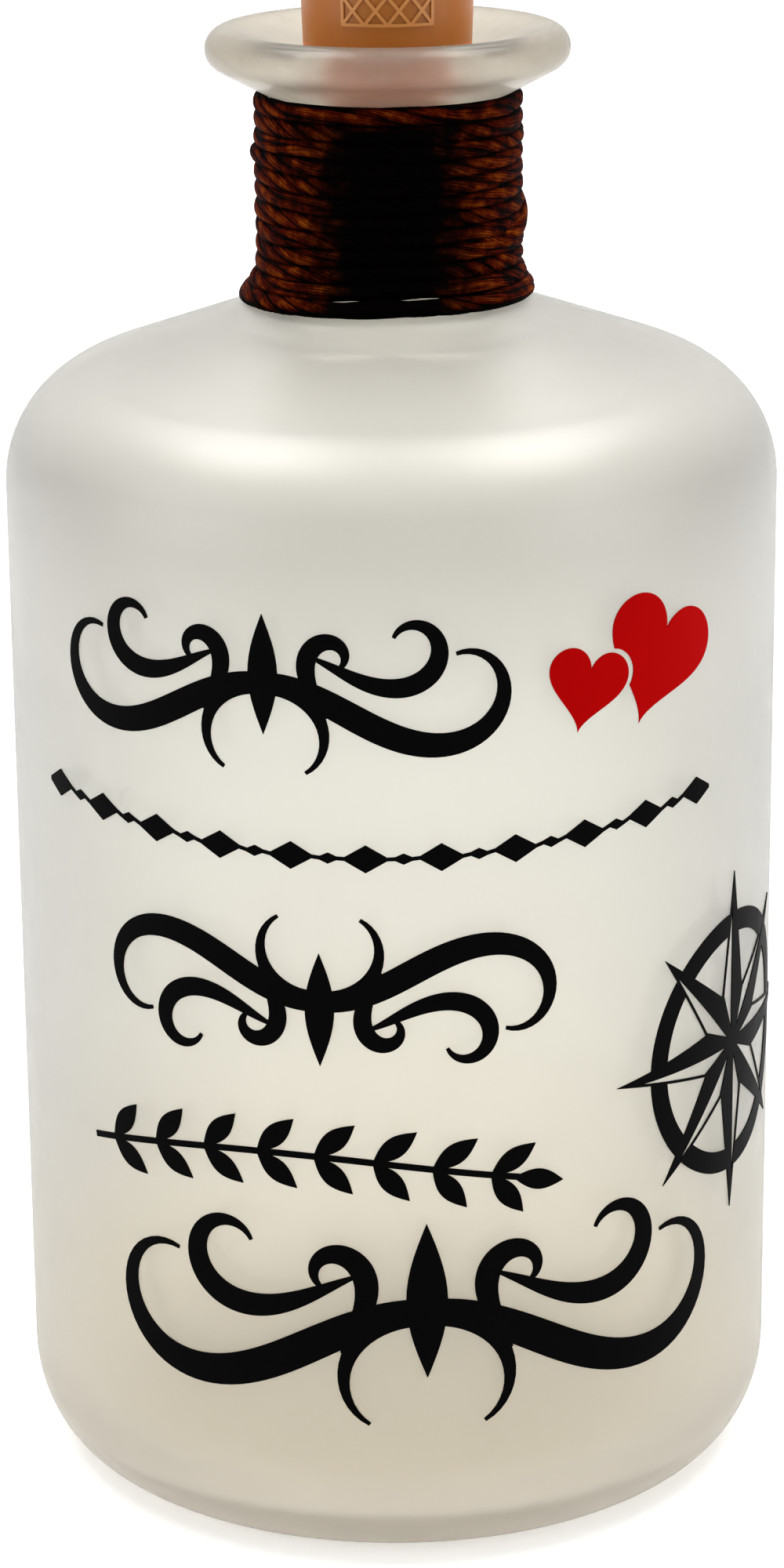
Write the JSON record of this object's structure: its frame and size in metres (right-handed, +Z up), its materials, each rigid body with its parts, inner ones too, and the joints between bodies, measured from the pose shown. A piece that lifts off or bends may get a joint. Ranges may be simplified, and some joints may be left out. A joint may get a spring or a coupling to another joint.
{
  "type": "decorative bottle lamp",
  "caption": "Frosted glass bottle with a cord-wound neck, cut vinyl ornaments and a tapered lamp stopper whose cap has a push button.",
  "frame": {"origin": "centre of the bottle's base, on the plane that its foot ring stands on", "axes": "+Z up along the bottle's axis; the ornaments face -Y; +X is to the viewer's right of them"},
  "size_m": [0.0844, 0.0845, 0.1771],
  "materials": {
    "frosted_glass": "satin frosted, off-white, lets a soft glow through",
    "waxed_cord": "waxed twisted cord, dark brown, slight sheen",
    "amber_plastic": "translucent amber moulded plastic, semi-gloss",
    "amber_cap_plastic": "translucent amber moulded plastic, semi-gloss",
    "button_plastic": "cream moulded plastic, fine texture",
    "plunger_plastic": "small red moulded plunger",
    "switch_plastic": "black moulded switch body",
    "board_laminate": "green glass laminate with solder mask",
    "resistor_ceramic": "chip resistor, black",
    "screw_steel": "small plated screws",
    "spring_steel": "bright wire spring",
    "cell_steel": "nickel-plated cell cans",
    "sleeve_card": "thin insulating sleeve",
    "contact_brass": "stamped brass sheet",
    "led_resin": "pale yellow clear resin",
    "tinned_wire": "tinned lead wire",
    "clear_plastic": "clear moulded lens",
    "red_vinyl": "cut vinyl film, red, satin",
    "black_vinyl": "cut vinyl film, black, satin"
  },
  "bodies": {
    "bottle": {"glass_bottle": "frosted_glass", "neck_cord": "waxed_cord", "vinyl_heart_small": "red_vinyl", "vinyl_heart_large": "red_vinyl", "vinyl_compass": "black_vinyl", "vinyl_flourish_upper": "black_vinyl", "vinyl_flourish_middle": "black_vinyl", "vinyl_flourish_lower": "black_vinyl", "vinyl_lozenge_chain": "black_vinyl", "vinyl_sprig": "black_vinyl"},
    "stopper": {"stopper_shell": "amber_plastic", "button_cell_bottom": "cell_steel", "button_cell_middle": "cell_steel", "button_cell_top": "cell_steel", "battery_sleeve": "sleeve_card", "contact_plate": "contact_brass", "return_strip": "contact_brass", "led": "led_resin", "led_lead_to_plate": "tinned_wire", "led_lead_to_strip": "tinned_wire", "lens": "clear_plastic"},
    "cap": {"stopper_cap": "amber_cap_plastic", "switch_body": "switch_plastic", "circuit_board": "board_laminate", "resistor": "resistor_ceramic", "board_screw_front": "screw_steel", "board_screw_back": "screw_steel", "battery_spring": "spring_steel"},
    "button": {"push_button": "button_plastic", "switch_plunger": "plunger_plastic"}
  },
  "joints": [
    {"name": "stopper_lift", "type": "slide", "parent": "bottle", "child": "stopper", "axis": [0, 0, 1], "range_m": [0, 0.045]},
    {"name": "cap_pull", "type": "slide", "parent": "stopper", "child": "cap", "axis": [0, 0, 1], "range_m": [0, 0.016]},
    {"name": "button_press", "type": "slide", "parent": "cap", "child": "button", "axis": [0, 0, -1], "range_m": [0, 0.0008], "stiffness_N_per_m": 600, "springref_m": -0.0005}
  ]
}
